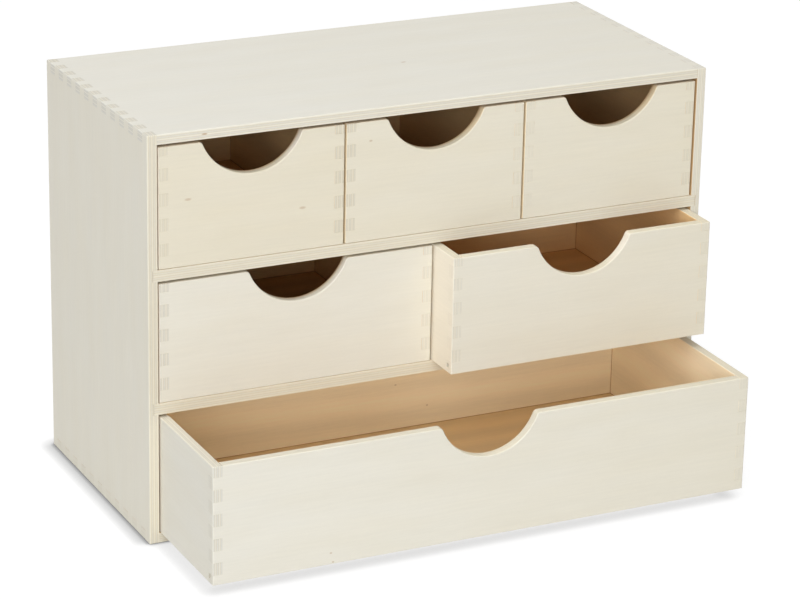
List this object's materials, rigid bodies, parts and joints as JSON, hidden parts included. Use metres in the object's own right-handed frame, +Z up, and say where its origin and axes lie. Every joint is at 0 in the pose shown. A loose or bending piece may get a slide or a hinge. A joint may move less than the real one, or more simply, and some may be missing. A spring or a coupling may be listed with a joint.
{
  "type": "desktop drawer organizer",
  "caption": "Finger-jointed plywood desktop chest of small drawers; each drawer has an arched finger cut-out and slides out of its own bay in the case.",
  "frame": {"origin": "centre of the case's underside, on the surface that it stands on", "axes": "+X to the right of someone facing the drawers, +Y to the back, so that drawers open towards -Y, +Z up"},
  "size_m": [0.42, 0.2814, 0.29],
  "materials": {
    "case_board": "sanded pale plywood",
    "shelf_board": "sanded pale plywood",
    "back_panel": "thin plywood, sanded",
    "drawer_front": "sanded pale plywood",
    "drawer_board": "sanded plywood",
    "drawer_base": "thin plywood, sanded"
  },
  "bodies": {
    "case": {"case_top": "case_board", "case_bottom": "case_board", "case_left_side": "case_board", "case_right_side": "case_board", "case_back": "back_panel", "lower_shelf": "shelf_board", "upper_shelf": "shelf_board"},
    "bottom_drawer": {"bottom_drawer_front": "drawer_front", "bottom_drawer_back": "drawer_board", "bottom_drawer_base": "drawer_base", "bottom_drawer_left_side": "drawer_board", "bottom_drawer_right_side": "drawer_board"},
    "middle_left_drawer": {"middle_left_drawer_front": "drawer_front", "middle_left_drawer_back": "drawer_board", "middle_left_drawer_base": "drawer_base", "middle_left_drawer_left_side": "drawer_board", "middle_left_drawer_right_side": "drawer_board"},
    "middle_right_drawer": {"middle_right_drawer_front": "drawer_front", "middle_right_drawer_back": "drawer_board", "middle_right_drawer_base": "drawer_base", "middle_right_drawer_left_side": "drawer_board", "middle_right_drawer_right_side": "drawer_board"},
    "top_left_drawer": {"top_left_drawer_front": "drawer_front", "top_left_drawer_back": "drawer_board", "top_left_drawer_base": "drawer_base", "top_left_drawer_left_side": "drawer_board", "top_left_drawer_right_side": "drawer_board"},
    "top_middle_drawer": {"top_middle_drawer_front": "drawer_front", "top_middle_drawer_back": "drawer_board", "top_middle_drawer_base": "drawer_base", "top_middle_drawer_left_side": "drawer_board", "top_middle_drawer_right_side": "drawer_board"},
    "top_right_drawer": {"top_right_drawer_front": "drawer_front", "top_right_drawer_back": "drawer_board", "top_right_drawer_base": "drawer_base", "top_right_drawer_left_side": "drawer_board", "top_right_drawer_right_side": "drawer_board"}
  },
  "joints": [
    {"name": "bottom_drawer_slide", "type": "slide", "parent": "case", "child": "bottom_drawer", "axis": [0, -1, 0], "range_m": [-0.092, 0.058]},
    {"name": "middle_left_drawer_slide", "type": "slide", "parent": "case", "child": "middle_left_drawer", "axis": [0, -1, 0], "range_m": [0, 0.15]},
    {"name": "middle_right_drawer_slide", "type": "slide", "parent": "case", "child": "middle_right_drawer", "axis": [0, -1, 0], "range_m": [-0.03, 0.12]},
    {"name": "top_left_drawer_slide", "type": "slide", "parent": "case", "child": "top_left_drawer", "axis": [0, -1, 0], "range_m": [0, 0.15]},
    {"name": "top_middle_drawer_slide", "type": "slide", "parent": "case", "child": "top_middle_drawer", "axis": [0, -1, 0], "range_m": [0, 0.15]},
    {"name": "top_right_drawer_slide", "type": "slide", "parent": "case", "child": "top_right_drawer", "axis": [0, -1, 0], "range_m": [0, 0.15]}
  ]
}
